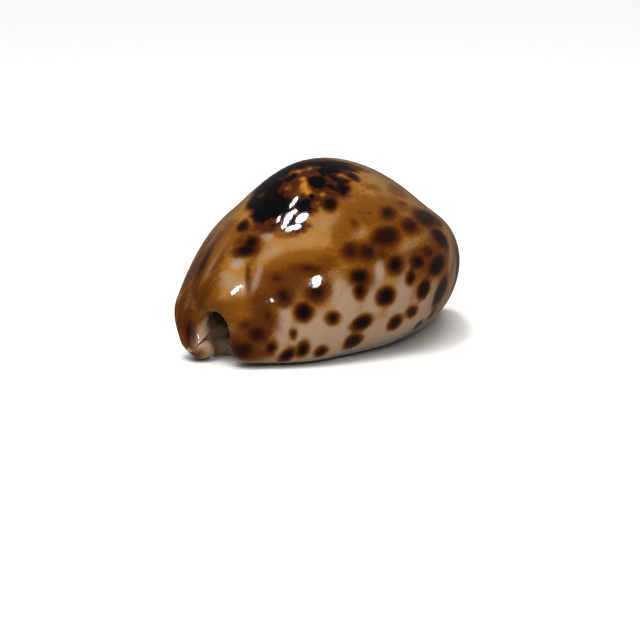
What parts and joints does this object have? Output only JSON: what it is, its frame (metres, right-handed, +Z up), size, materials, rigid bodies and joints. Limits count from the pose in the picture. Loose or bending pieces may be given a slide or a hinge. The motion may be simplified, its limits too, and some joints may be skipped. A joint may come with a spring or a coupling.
{
  "type": "cowrie shell",
  "caption": "Glossy spotted cowrie shell, domed above, with a toothed slit along its base and a notch at each end.",
  "frame": {"origin": "centre of the bounding box in plan, at the level of the base it stands on", "axes": "+X along the length towards the front end, -Y towards the outer lip's flank, +Z up through the dome"},
  "size_m": [0.056, 0.036, 0.0274],
  "materials": {
    "enamel": "very glossy natural enamel, brown spots on tan and cream"
  },
  "bodies": {
    "root": {"shell": "enamel"}
  },
  "joints": []
}
